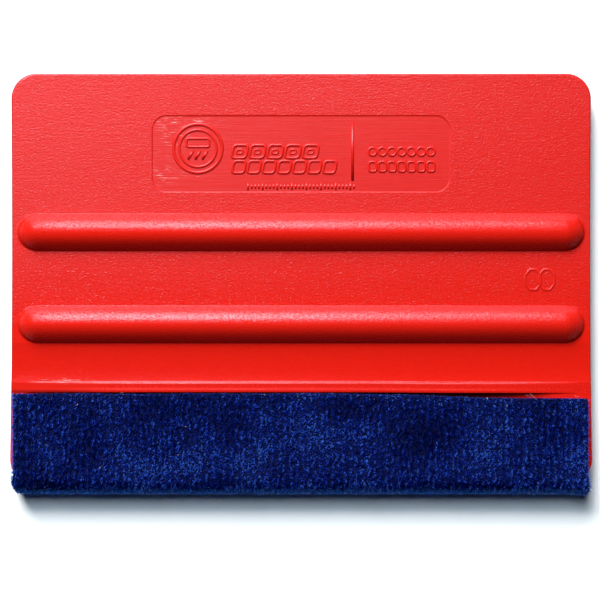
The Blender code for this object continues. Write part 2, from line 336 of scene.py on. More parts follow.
def card_rows():
    """Grid rows from the working edge to the top edge."""
    corner = CORNER_RADIUS * (1 - np.cos(np.radians(np.arange(0.0, 90.1, 5.0))))
    spans = [
        (CORNER_RADIUS, STOP_LOW_Y - 1.2, 1.8),
        (STOP_LOW_Y - 1.2, STOP_LOW_Y - 0.2, 0.5),
        (STOP_LOW_Y - 0.2, STOP_LOW_Y + 0.24, 0.04),
        (STOP_LOW_Y + 0.24, STOP_HIGH_Y + 0.1, 0.09),
        (HOLLOW_LOW_Y, HOLLOW_HIGH_Y, 0.4),
        (RIB_CENTRES_Y[0] + RIB_HALF_WIDTH, RIB_CENTRES_Y[1] - RIB_HALF_WIDTH, 1.6),
        (RIB_CENTRES_Y[1] + RIB_HALF_WIDTH, RECESS_Y - RECESS_HALF[1] - 0.1, 1.6),
        (RECESS_Y - RECESS_HALF[1] + RECESS_RADIUS, RECESS_Y + RECESS_HALF[1] - RECESS_RADIUS, 1.6),
        (RECESS_Y + RECESS_HALF[1] + 0.1, CARD_HEIGHT - CORNER_RADIUS, 1.2),
    ]
    for side in (-1, 1):
        low = RECESS_Y + side * (RECESS_HALF[1] - RECESS_RADIUS)
        high = RECESS_Y + side * (RECESS_HALF[1] + 0.1)
        spans.append((min(low, high), max(low, high), 0.075))
    rows = [ticks(*spans), corner, CARD_HEIGHT - corner]
    for centre_y in RIB_CENTRES_Y:
        swing = np.radians(np.linspace(-90, 90, 47))
        rows.append(centre_y + (RIB_HALF_WIDTH + 0.04) * np.sin(swing))
        for beyond in (0.075, 0.12, 0.20):
            rows.append(centre_y + np.array([-1.0, 1.0]) * (RIB_HALF_WIDTH + beyond))
    merged = np.unique(np.round(np.concatenate(rows), 3))
    keep = np.concatenate([[True], np.diff(merged) > 0.012])
    return merged[keep]


def card_grid():
    """X and Y of every grid point; columns follow the outline, and bunch up next to it."""
    inner, edge = card_columns()
    rows = card_rows()
    limit = outline_x(rows)[:, None]
    reference = side_x(corner_centre_y(rows))[:, None]
    squeeze = (limit - edge[0]) / (reference - edge[0])
    right_inner = inner[None, :] * squeeze
    right = np.concatenate([right_inner, limit - edge[None, :]], axis=1)
    x = np.concatenate([-right[:, :0:-1], right], axis=1)
    y = np.repeat(rows[:, None], x.shape[1], axis=1)
    return x, y


def make_card(material):
    """The whole moulding as one closed mesh: front face, back face and the wall between them."""
    x, y = card_grid()
    front_z = face_height(x, y, front=True)
    back_z = -face_height(x, y, front=False)
    row_count, column_count = x.shape
    index = np.arange(x.size).reshape(x.shape)
    front = np.stack([index[:-1, :-1], index[:-1, 1:], index[1:, 1:], index[1:, :-1]], axis=-1)
    back = (front + x.size)[..., ::-1]
    rim = np.concatenate([
        index[0, :], index[1:, -1], index[-1, -2::-1], index[-2:0:-1, 0],
    ])
    after = np.roll(rim, -1)
    wall = np.stack([rim + x.size, after + x.size, after, rim], axis=-1)
    vertices = np.concatenate([
        np.stack([x, y, front_z], axis=-1).reshape(-1, 3),
        np.stack([x, y, back_z], axis=-1).reshape(-1, 3),
    ])
    faces = [front.reshape(-1, 4), back.reshape(-1, 4), wall]
    card = mesh_object("card_moulding", vertices, faces, material)
    inset = recess_inset(x, y)
    grain_front = surface_grain(x, y, inset)
    grain_back = surface_grain(x, y, np.full_like(inset, -1.0))
    add_attribute(card, "grain", np.concatenate([grain_front.ravel(), grain_back.ravel()]))
    add_attribute(card, "matt", np.tile(surface_matt(x, y).ravel(), 2))
    add_attribute(card, "rib", np.tile(on_rib(x, y).ravel(), 2))
    add_attribute(card, "gloss", np.tile(surface_gloss(x, y).ravel(), 2))
    # Painted shade, which the material mixes into the colour as near-black red.
    add_attribute(card, "dark", np.tile(painted_shade(x, y).ravel(), 2))
    # Painted reflection, which the material mixes into the colour on the ribs' upper flanks.
    add_attribute(card, "flank", np.tile(painted_flank_reflection(x, y).ravel(), 2))
    scuff = scuffed(x, y) * ((inset > 0.1) | (y < RIB_CENTRES_Y[0]))
    add_attribute(card, "scuff", np.concatenate([scuff.ravel(), np.zeros(x.size)]))
    floor = smooth_step(0.0, RECESS_WALL, inset)
    add_attribute(card, "recess", np.concatenate([floor.ravel(), np.zeros(x.size)]))
    print(f"card grid {row_count} x {column_count}, {len(card.data.polygons) * 2} triangles")
    return card


def surface_grain(x, y, inset):
    """1 on the grained skin, low on ribs and the smooth band above the strip, 0 in the recess."""
    grain = np.where(y > RIB_CENTRES_Y[1], 0.88, 0.80) * (1 + 0.0018 * x)
    grain = np.where(y < RIB_CENTRES_Y[0], 0.30, grain)
    grain = np.where(on_rib(x, y) > 0, 0.245, grain)
    return grain * (1 - smooth_step(-0.05, RECESS_WALL, inset))


def surface_matt(x, y):
    """1 above the ribs, falling between them, 0 on the ribs and on the smooth band."""
    between = 0.30 + 0.55 * smooth_step(RIB_CENTRES_Y[0], RIB_CENTRES_Y[1], y)
    matt = np.where(y > RIB_CENTRES_Y[1], 1.0, between)
    matt = np.where(y < RIB_CENTRES_Y[0], 0.0, matt)
    ridge = 0.20 + 0.45 * smooth_step(-28.0, -44.0, x)
    matt = np.where((y > STOP_LOW_Y) & (y < STOP_HIGH_Y + 0.2), ridge, matt)
    rib = 0.40 + 0.45 * smooth_step(43.0, 47.0, np.abs(x))
    return np.where(on_rib(x, y) > 0, rib, matt)


def surface_gloss(x, y):
    """Strength of reflections: lower on the ribs, lowest on their steep ends."""
    nearest = np.where(y > sum(RIB_CENTRES_Y) / 2, RIB_CENTRES_Y[1], RIB_CENTRES_Y[0])
    shaded = np.maximum(smooth_step(0.3, -0.3, (y - nearest) / RIB_HALF_WIDTH), x > 0)
    end = smooth_step(RIB_HALF_LENGTH - 2.4, RIB_HALF_LENGTH - 1.0, np.abs(x)) * shaded
    on_left = smooth_step(-15.0, -35.0, x)
    towards_end = smooth_step(41.0, 47.4, np.abs(x))
    high_side = smooth_step(0.36, 0.66, (y - nearest) / RIB_HALF_WIDTH)
    rib = 0.314 * (1 - 0.40 * towards_end) * (1 - 0.85 * end)
    rib = rib * (0.95 + 0.25 * high_side - 0.30 * on_left + 0.24 * on_left * high_side)
    rib = rib * np.where(nearest < 30.0, 1.13, 1.0)
    along = (np.abs(x) - RIB_HALF_LENGTH + RIB_END_LENGTH) / RIB_END_LENGTH
    radial = np.hypot(np.maximum(along, 0.0), (y - nearest) / RIB_HALF_WIDTH)
    foot = smooth_step(0.84, 0.95, radial) * smooth_step(1.06, 1.01, radial) * smooth_step(0.0, 0.4, along)
    ridge = 0.425 - 0.224 * smooth_step(-28.0, -42.0, x)
    face = 0.493 * (1.02 - 0.0045 * x)
    face = face * (1 + 0.17 * smooth_step(56.0, 68.0, y) * smooth_step(-30.0, 20.0, x))
    low_face = 0.90 - 0.40 * smooth_step(-20.0, 30.0, x)
    face = face * np.where(y < RIB_CENTRES_Y[0], low_face, 1.0)
    inset = recess_inset(x, y)
    lower_wall = (inset > 0.0) & (inset < 0.26) & (y < RECESS_Y - RECESS_HALF[1] + 1.4)
    face = np.where(lower_wall, 0.40 * face, face)
    gloss = np.where((y > STOP_LOW_Y) & (y < STOP_HIGH_Y + 0.2), ridge, face)
    return np.where(on_rib(x, y) > 0, rib, gloss) * (1 - 0.75 * foot)


def painted_shade(x, y):
    """Painted shade: how far the plastic's colour is darkened, in the gap under the stop ridge, on the sides'
    rounded edges, at the left foot of the ridge and on the upper rib's lower flank.
    """
    gap = smooth_step(STOP_LOW_Y - 1.6, STOP_LOW_Y - 1.1, y)
    gap = gap * (1 - smooth_step(STOP_LOW_Y, STOP_LOW_Y + 0.08, y))
    from_side = outline_x(y) - np.abs(x)
    side = 1 - smooth_step(0.05, 0.24, from_side)
    side = side * smooth_step(14.0, 17.0, y) * smooth_step(CARD_HEIGHT, CARD_HEIGHT - CORNER_RADIUS, y)
    low_flank = smooth_step(-0.25, -0.80, (y - RIB_CENTRES_Y[1]) / RIB_HALF_WIDTH) * on_rib(x, y)
    low_flank = low_flank * (y > RIB_CENTRES_Y[1] - RIB_HALF_WIDTH)
    foot = smooth_step(STOP_LOW_Y + 0.8, STOP_LOW_Y + 0.2, y) * smooth_step(-32.0, -42.0, x)
    foot = foot * smooth_step(STOP_LOW_Y - 1.6, STOP_LOW_Y - 1.1, y) * (side < 0.5)
    shades = (0.95 * gap * stop_fade(x) * smooth_step(46.0, 40.0, x), 0.58 * foot, 0.58 * side, 0.24 * low_flank)
    return np.maximum.reduce(shades)


def scuffed(x, y):
    """How rubbed the front is: patches in the recess and along the left end of the stop ridge."""
    total = np.zeros_like(x)
    for centre_x, centre_y, reach_x, reach_y, amount in SCUFFS:
        total += amount * np.exp(-(((x - centre_x) / reach_x) ** 2) - ((y - centre_y) / reach_y) ** 2)
    return np.minimum(total, 1.0)


def painted_flank_reflection(x, y):
    """1 on the upper flank of each rib, where the colour is paled as a painted reflection, else 0."""
    flank = np.zeros_like(y)
    for centre_y in RIB_CENTRES_Y:
        across = (y - centre_y) / RIB_HALF_WIDTH
        band = smooth_step(0.56, 0.74, across) * (1 - smooth_step(0.95, 1.0, across))
        flank = np.maximum(flank, band * (np.abs(x) < RIB_HALF_LENGTH - 1.2))
    return flank


def on_rib(x, y):
    """1 on the ribs, else 0."""
    heights = [rib_height(x, y, centre_y) for centre_y in RIB_CENTRES_Y]
    return (np.maximum(*heights) > HALF_THICKNESS).astype(float)


# ---------------------------------------------------------------------------------------------
# Raised marks: a plain ring badge, outlined blocks and ticks, with no lettering
# ---------------------------------------------------------------------------------------------
def rounded_block(centre, size, radius, lean=0.0):
    """Closed outline of a box with rounded corners, sheared sideways by lean."""
    points = []
    half_x, half_y = size[0] / 2 - radius, size[1] / 2 - radius
    for quarter, (side_sign_x, side_sign_y) in enumerate(((1, 1), (-1, 1), (-1, -1), (1, -1))):
        for step in range(4):
            angle = math.pi / 2 * (quarter + step / 3)
            x = side_sign_x * half_x + radius * math.cos(angle)
            y = side_sign_y * half_y + radius * math.sin(angle)
            points.append((centre[0] + x + lean * y, centre[1] + y))
    return np.array(points)


def ring(centre, radius, sides=28, turn=0.0):
    """Closed outline of a circle, or of a regular polygon with few sides."""
    angle = math.pi * 2 * (np.arange(sides) + turn) / sides
    return np.stack([centre[0] + radius * np.cos(angle), centre[1] + radius * np.sin(angle)], -1)


def stroke(path, closed, width, rise, base_z):
    """Closed solid of a raised line with a rounded top that follows a path."""
    before, after = np.roll(path, 1, axis=0), np.roll(path, -1, axis=0)
    if not closed:
        before[0], after[-1] = path[0], path[-1]
    into = path - before
    out = after - path
    into_length = np.linalg.norm(into, axis=1)[:, None]
    out_length = np.linalg.norm(out, axis=1)[:, None]
    into = np.where(into_length > 0, into / np.maximum(into_length, 1e-9), 0.0)
    out = np.where(out_length > 0, out / np.maximum(out_length, 1e-9), 0.0)
    along = into + out
    along /= np.linalg.norm(along, axis=1)[:, None]
    bend = np.maximum(np.abs((along * out).sum(1)), np.abs((along * into).sum(1)))
    across = np.stack([-along[:, 1], along[:, 0]], axis=1) / np.maximum(bend, 0.5)[:, None]
    rings = []
    for offset, height in STROKE_PROFILE:
        place = path + across * (offset * width / 2)
        rings.append(np.column_stack([place, np.full(len(path), base_z + height * rise)]))
    vertices = np.stack(rings, axis=1).reshape(-1, 3)
    sides = len(STROKE_PROFILE)
    row = np.arange(len(path) if closed else len(path) - 1)
    following = (row + 1) % len(path)
    quads = []
    for k in range(sides):
        nxt = (k + 1) % sides
        corners = (row * sides + k, following * sides + k, following * sides + nxt, row * sides + nxt)
        quads.append(np.stack(corners, axis=1))
    faces = np.concatenate(quads)
    caps = np.zeros((0, sides), int)
    if not closed:
        last = (len(path) - 1) * sides
        caps = np.array([np.arange(sides), last + np.arange(sides)[::-1]])
    return vertices, faces, caps


def mark_paths():
    """(path, closed, width, rise, base) of every raised line."""
    floor = RECESS_FLOOR_Z
    marks = []
    badge_x, badge_y = -18.1, 58.85
    marks.append((ring((badge_x, badge_y), 4.25, 48), True, 0.62, 0.18, floor))
    marks.append((ring((badge_x, badge_y), 3.25, 40), True, 0.52, 0.17, floor))
    blade = rounded_block((badge_x, badge_y + 1.0), (4.0, 1.45), 0.35)
    marks.append((blade, True, 0.46, 0.17, floor))
    for step in (-1, 0, 1):
        foot = badge_x + 1.25 * step - 0.45
        streak = np.array([(foot, badge_y - 1.9), (foot + 0.9, badge_y - 0.4)])
        marks.append((streak, False, 0.46, 0.17, floor))
    for index in range(5):
        centre = (-10.75 + 3.1 * index, 58.3)
        marks.append((rounded_block(centre, (2.55, 2.25), 0.55, 0.2), True, 0.50, 0.18, floor))
        marks.append((rounded_block(centre, (1.05, 0.75), 0.3, 0.2), True, 0.36, 0.13, floor))
    for index in range(7):
        centre = (-10.9 + 2.65 * index, 55.6)
        marks.append((rounded_block(centre, (2.1, 2.1), 0.5, 0.2), True, 0.50, 0.18, floor))
    for index in range(7):
        marks.append((ring((12.5 + 1.70 * index, 58.3), 0.72, 14), True, 0.42, 0.17, floor))
        centre = (12.5 + 1.70 * index, 55.65)
        marks.append((rounded_block(centre, (1.3, 1.7), 0.4), True, 0.42, 0.17, floor))
    marks.append((np.array([(9.0, 53.3), (9.0, 58.4), (9.0, 63.4)]), False, 0.54, 0.18, floor))
    for index in range(30):
        tall = 0.62 if index % 4 == 0 else 0.40
        x = -9.3 + 0.64 * index
        marks.append((np.array([(x, 52.2 - tall), (x, 52.2 + tall)]), False, 0.36, 0.075, floor))
    for side in (-1, 1):
        loop = ring((0.0, 0.0), 1.45, 8, 0.5) * np.array([1.0, 1.32])
        loop += np.array([41.8 + 1.22 * side, 35.85])
        marks.append((loop, True, 0.46, 0.11, HALF_THICKNESS))
    return marks


def make_marks(material):
    """All raised lines as one piece."""
    vertices, quads, caps = [], [], []
    count = 0
    for path, closed, width, rise, base_z in mark_paths():
        points, faces, ends = stroke(path, closed, width, rise, base_z)
        vertices.append(points)
        quads.append(faces + count)
        caps.append(ends + count)
        count += len(points)
    blocks = [np.concatenate(quads), np.concatenate(caps)]
    marks = mesh_object("raised_marks", np.concatenate(vertices), blocks, material)
    add_attribute(marks, "grain", np.full(count, 0.12))
    add_attribute(marks, "matt", np.full(count, 0.70))
    add_attribute(marks, "recess", np.zeros(count))
    add_attribute(marks, "gloss", np.full(count, 0.48))
    for name in ("rib", "flank", "scuff", "dark"):
        add_attribute(marks, name, np.zeros(count))
    return marks


# ---------------------------------------------------------------------------------------------
# Velour strip
# ---------------------------------------------------------------------------------------------
def noise_field(points, scale, offset):
    """Smooth noise, about -1 to 1, at each point; scale is features per millimetre."""
    shift = Vector((offset, 2.7 * offset, 5.1 * offset))
    return np.array([noise.noise(Vector(point) * scale + shift) for point in points]) * 1.6


def flap_top(x, side):
    """Y of the strip's cut edge on the front (side 1) or back (side -1), a little uneven."""
    sagging = (FLAP_TOP_AT_LEFT - FLAP_TOP_AT_RIGHT) * smooth_step(8.0, 43.0, x)
    wander = 0.04 * np.sin(x * 0.31 + side) + 0.03 * np.sin(x * 0.11 + 2.0 * side)
    return FLAP_TOP_AT_LEFT - sagging - 0.02 + wander


def strip_surface(x, t, radius):
    """Point and outward normal; t runs 0-1 down the front, 1-2 round the fold, 2-3 up the back."""
    down = np.clip(t, 0.0, 1.0)
    turn = math.pi / 2 + math.pi * np.clip(t - 1.0, 0.0, 1.0)
    up = np.clip(t - 2.0, 0.0, 1.0)
    front_part = (flap_top(x, 1) - FOLD_CENTRE_Y) * (1 - down) * (t < 1)
    back_part = (flap_top(x, -1) - FOLD_CENTRE_Y) * up
    normal_y = np.cos(turn)
    normal_z = np.sin(turn)
    y = FOLD_CENTRE_Y + front_part + back_part + radius * normal_y
    z = radius * normal_z
    point = np.stack([x, y, z], axis=-1)
    normal = np.stack([np.zeros_like(y), normal_y, normal_z], axis=-1)
    return point, normal


def pull_corners(points):
    """Hand fitting: the left end of the fold is pinched in, the right end sags out a little."""
    x, y, z = points[..., 0], points[..., 1], points[..., 2]
    above = y - (FOLD_CENTRE_Y - STRIP_OUTER_RADIUS)
    from_left = x - STRIP_LEFT_X
    from_right = STRIP_RIGHT_X - x
    low = np.clip(1 - above / 5.0, 0.0, 1.0)
    pinch = np.clip(1 - from_left / 1.3, 0.0, 1.2) ** 2 * low
    flare = np.exp(-((above - 1.8) / 1.8) ** 2)
    sag = np.exp(-((from_right - 0.8) / 1.6) ** 2) * low
    left_flare = 0.30 * flare * np.exp(-from_left / 1.5)
    right_flare = 0.22 * flare * np.exp(-from_right / 1.5)
    moved = points.copy()
    moved[..., 0] = x + 0.15 * pinch - left_flare + right_flare
    moved[..., 1] = y + 0.8 * pinch - 0.30 * sag
    moved[..., 2] = z * (1 - 0.10 * pinch)
    return moved


def slab(outer, inner):
    """Vertices and faces of a closed sheet between two grids of the same shape."""
    rows, columns = outer.shape[:2]
    count = rows * columns
    index = np.arange(count).reshape(rows, columns)
    top = np.stack([index[:-1, :-1], index[:-1, 1:], index[1:, 1:], index[1:, :-1]], axis=-1)
    bottom = (top + count)[..., ::-1]
    rim = np.concatenate([index[0, :], index[1:, -1], index[-1, -2::-1], index[-2:0:-1, 0]])
    after = np.roll(rim, -1)
    wall = np.stack([rim + count, after + count, after, rim], axis=-1)
    vertices = np.concatenate([outer.reshape(-1, 3), inner.reshape(-1, 3)])
    return vertices, [top.reshape(-1, 4), bottom.reshape(-1, 4), wall]


def make_strip_ground(material):
    """The woven ground and packed lower pile: a closed folded sheet with a lumpy outside."""
    x = np.linspace(STRIP_LEFT_X + 0.2, STRIP_RIGHT_X - 0.2, 290)
    t = np.concatenate([
        np.linspace(0, 1, 46)[:-1], np.linspace(1, 2, 30)[:-1], np.linspace(2, 3, 46),
    ])
    grid_t, grid_x = np.meshgrid(t, x, indexing="ij")
    outer, normal = strip_surface(grid_x, grid_t, STRIP_OUTER_RADIUS - 0.50)
    lumps = noise_field(outer.reshape(-1, 3), 1.7, 3.0).reshape(grid_x.shape)
    near_edge = np.minimum(grid_t, 3.0 - grid_t)
    swell = 0.13 * lumps * smooth_step(0.0, 0.02, near_edge)
    outer = outer + normal * swell[..., None]
    inner, _ = strip_surface(grid_x, grid_t, STRIP_INNER_RADIUS + 0.02)
    vertices, faces = slab(pull_corners(outer), pull_corners(inner))
    faces = [block[..., ::-1] for block in faces]
    ground = mesh_object("velour_ground", vertices, faces, material)
    return ground


def brushed_nap(points):
    """Broad strokes left by a hand over the pile: where it is brushed, which tilts the tufts and paints their
    colour lighter or darker as sheen.
    """
    total = np.zeros(len(points))
    for x, y, reach_x, reach_y, amount in NAP_STROKES:
        away = ((points[:, 0] - x) / reach_x) ** 2 + ((points[:, 1] - y) / reach_y) ** 2
        total += amount * np.exp(-away)
    return total


def tuft_roots(generator, t_low, t_high, length, spacing):
    """Jittered grid of (x, t) over one stretch of the strip; length is that stretch in mm."""
    rows = max(1, round(length / spacing))
    columns = round((STRIP_RIGHT_X - STRIP_LEFT_X) / spacing)
    row, column = np.meshgrid(np.arange(rows), np.arange(columns), indexing="ij")
    jitter = generator.uniform(-0.5, 0.5, (2, rows, columns))
    t = t_low + (t_high - t_low) * (row + 0.5 + jitter[0]) / rows
    across = (column + 0.5 * (row % 2) + 0.5 + jitter[1] * 0.9) / (columns + 0.5)
    x = STRIP_LEFT_X + 0.15 + (STRIP_RIGHT_X - STRIP_LEFT_X - 0.3) * across
    return x.ravel(), np.clip(t, t_low, t_high).ravel()


def tufts(root, direction, reach, width, droop, spin, levels):
    """Vertices and faces of tapering three-sided tufts; levels gives each ring's height, taper, bend."""
    count = len(root)
    side = np.cross(direction, np.array([0.96, 0.2, 0.2]))
    side /= np.linalg.norm(side, axis=1)[:, None]
    other = np.cross(direction, side)
    rings = []
    for level, taper, bend in levels:
        centre = root + direction * (reach * level)[:, None] + droop * bend
        for corner in range(3):
            angle = spin + corner * 2 * math.pi / 3
            offset = side * np.cos(angle)[:, None] + other * np.sin(angle)[:, None]
            rings.append(centre + offset * (width * taper)[:, None])
    rings.append(root + direction * reach[:, None] + droop)
    vertices = np.stack(rings, axis=1).reshape(-1, 3)
    first = np.arange(count)[:, None] * len(rings)
    quads = []
    for ring_start in range(0, 3 * (len(levels) - 1), 3):
        for corner in range(3):
            near, far = ring_start + corner, ring_start + (corner + 1) % 3
            quads.append(first + np.array([near, far, far + 3, near + 3]))
    tip = len(rings) - 1
    triangles = [first + np.array([2, 1, 0])]
    for corner in range(3):
        triangles.append(first + np.array([tip - 3 + corner, tip - 3 + (corner + 1) % 3, tip]))
    return vertices, [np.concatenate(quads), np.concatenate(triangles)]


def place_tufts(name, vertices, faces, material):
    """Mesh object of tufts, pulled with the strip's corners and kept within the part's thickness."""
    placed = pull_corners(vertices)
    placed[:, 2] = np.clip(placed[:, 2], -RIB_HALF_HEIGHT, RIB_HALF_HEIGHT)
    return mesh_object(name, placed, faces, material)


def make_pile(name, generator, stretch, spacing, material):
    """One stretch of pile: thousands of small tapering tufts that lean with the nap."""
    t_low, t_high, length = stretch
    x, t = tuft_roots(generator, t_low, t_high, length, spacing)
    count = len(x)
    root, normal = strip_surface(x, t, STRIP_OUTER_RADIUS - 0.70)
    down = np.stack([np.zeros(count), -normal[:, 2], normal[:, 1]], axis=-1)
    across = np.tile([1.0, 0.0, 0.0], (count, 1))
    nap = 0.7 * noise_field(root, 0.16, 11.0) + brushed_nap(root)
    swirl = noise_field(root, 0.45, 23.0)
    streak = root * np.array([1.8, 1.35, 1.35])
    clump_a = noise_field(streak, 1.0, 31.0)
    clump_b = noise_field(streak, 1.0, 47.0)
    shift = 0.35 * noise_field(root, 0.6, 71.0)
    wale = np.sin((x + shift) * (2 * math.pi / 1.044)) * (0.6 + 0.4 * clump_a)
    edge_t = np.minimum(t, 3.0 - t) * length
    at_cut = np.exp(-edge_t / 0.35) * (np.abs(t - 1.5) > 0.5)
    lean_down = 0.30 - 0.30 * nap + 0.50 * clump_a + generator.normal(0, 0.16, count)
    lean_down = lean_down * (1 - at_cut) - 0.15 * at_cut
    lean_across = 0.25 * swirl + 0.45 * clump_b + 0.15 * wale + generator.normal(0, 0.16, count)
    direction = normal + down * lean_down[:, None] + across * lean_across[:, None]
    from_left = x - STRIP_LEFT_X
    from_right = STRIP_RIGHT_X - x
    outward = np.exp(-from_right / 0.25) - np.exp(-from_left / 0.25)
    direction[:, 0] += 0.45 * outward
    direction /= np.linalg.norm(direction, axis=1)[:, None]
    reach = 0.62 + 0.06 * wale + 0.18 * clump_a + generator.uniform(-0.10, 0.12, count)
    width = generator.uniform(0.10, 0.165, count)
    stray = generator.uniform(0, 1, count) < 0.03
    reach = np.where(stray, reach * 1.35, reach)
    width = np.where(stray, width * 0.4, width)
    droop = (down * 0.10 + across * generator.normal(0, 0.08, count)[:, None]) * reach[:, None]
    spin = generator.uniform(0, 2 * math.pi, count)
    levels = ((0.0, 1.0, 0.0), (0.55, 0.9, 0.35))
    vertices, faces = tufts(root, direction, reach, width, droop, spin, levels)
    pile = place_tufts(name, vertices, faces, material)
    height = np.tile([0.0, 0.0, 0.0, 0.6, 0.6, 0.6, 1.0], count)
    add_attribute(pile, "pile_height", height)
    # Tuft brightness: random tone, plus painted sheen from the nap strokes, clumps and wales, lighter along the
    # cut edges, and painted light on the end fibres at left and right.
    shade = 0.485 + 0.08 * generator.normal(0, 1, count) + 0.31 * nap
    shade += 0.25 * clump_b + 0.20 * clump_a + 0.26 * wale + 0.22 * at_cut
    shade += 0.40 * np.exp(-from_left / 0.6) + 0.28 * np.exp(-from_right / 0.4)
    add_attribute(pile, "pile_shade", np.repeat(np.clip(shade, 0, 1), 7))
    # Painted rim light: tufts on the underside of the fold and at the left end.
    rim = smooth_step(-0.62, -0.84, normal[:, 1]) + 0.6 * np.exp(-from_left / 0.22)
    rim = np.minimum(rim, 1.0) * generator.uniform(0.6, 1.0, count)
    add_attribute(pile, "pile_rim_light", np.repeat(rim, 7))
    pale = (generator.uniform(0, 1, count) < 0.0002 + 0.012 * at_cut).astype(float)
    add_attribute(pile, "pile_pale", np.repeat(pale, 7))
    return pile


def make_fuzz(generator, material):
    """Fine loose fibres on the strip's ends, cut edges and fold, and a few pale threads."""
    roots, directions, reaches = [], [], []
    for edge_x, side, count in ((STRIP_LEFT_X, -1.0, 1500), (STRIP_RIGHT_X, 1.0, 500)):
        t = generator.uniform(0.0, 3.0, count)
        x = np.full(count, edge_x - side * 0.15)
        radius = generator.uniform(STRIP_INNER_RADIUS + 0.3, STRIP_OUTER_RADIUS - 0.15, count)
        root, normal = strip_surface(x, t, radius[:, None].ravel())
        roots.append(root)
        across = np.array([side, 0.0, 0.0]) + generator.normal(0, 0.35, (count, 3))
        directions.append(across + 0.25 * normal)
        reaches.append(generator.uniform(0.22, 0.58, count))
    for t_low, t_high, count, low, high in (
        (0.0, 0.004, 260, 0.10, 0.40), (2.996, 3.0, 260, 0.10, 0.40), (1.15, 1.85, 1500, 0.65, 0.95),
    ):
        t = generator.uniform(t_low, t_high, count)
        x = generator.uniform(STRIP_LEFT_X + 0.2, STRIP_RIGHT_X - 0.2, count)
        root, normal = strip_surface(x, t, STRIP_OUTER_RADIUS - 0.55)
        roots.append(root)
        outward = np.array([0.0, 1.0, 0.0]) if high < 0.5 else 0.0
        directions.append(normal * 0.7 + outward + generator.normal(0, 0.30, (count, 3)))
        reaches.append(generator.uniform(low, high, count))
    fine = sum(len(reach) for reach in reaches)
    roots.append(np.array(THREADS)[:, :3])
    directions.append(np.array(THREADS)[:, 3:6])
    reaches.append(np.array(THREADS)[:, 6])
    root, direction, reach = (np.concatenate(part) for part in (roots, directions, reaches))
    direction /= np.linalg.norm(direction, axis=1)[:, None]
    count = len(root)
    width = generator.uniform(0.014, 0.030, count)
    droop = generator.normal(0, 0.16, (count, 3)) * reach[:, None]
    spin = generator.uniform(0, 2 * math.pi, count)
    levels = ((0.0, 1.0, 0.0), (0.3, 1.0, 0.10), (0.65, 0.8, 0.45))
    vertices, faces = tufts(root, direction, reach, width, droop, spin, levels)
    fuzz = place_tufts("velour_fuzz", vertices, faces, material)
    ring_count = len(levels) * 3 + 1
    pale = (np.arange(count) >= fine).astype(float)
    add_attribute(fuzz, "pile_height", np.ones(count * ring_count))
    shade = generator.uniform(0.5, 1.0, count)
    add_attribute(fuzz, "pile_shade", np.repeat(shade, ring_count))
    # Painted rim light on every loose fibre.
    add_attribute(fuzz, "pile_rim_light", np.full(count * ring_count, 0.35))
    add_attribute(fuzz, "pile_pale", np.repeat(pale, ring_count))
    return fuzz


def make_strip():
    """The ground sheet and its pile, in stretches."""
    generator = np.random.default_rng(SEED)
    ground = make_strip_ground(velour_ground())
    pile_material = velour_pile()
    flap = FLAP_TOP_AT_LEFT - FOLD_CENTRE_Y
    fold = math.pi * (STRIP_OUTER_RADIUS - 0.3)
    pieces = [ground]
    for name, stretch, spacing in (
        ("velour_pile_front", (0.0, 1.0, flap), 0.28),
        ("velour_pile_fold", (1.0, 2.0, fold), 0.28),
        ("velour_pile_back", (2.0, 3.0, flap), 0.28),
    ):
        pieces.append(make_pile(name, generator, stretch, spacing, pile_material))
    pieces.append(make_fuzz(generator, pile_material))
    for piece in pieces:
        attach(piece, BODY)
    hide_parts("velour_strip")
    print("velour triangles", [sum(len(f.vertices) - 2 for f in p.data.polygons) for p in pieces])


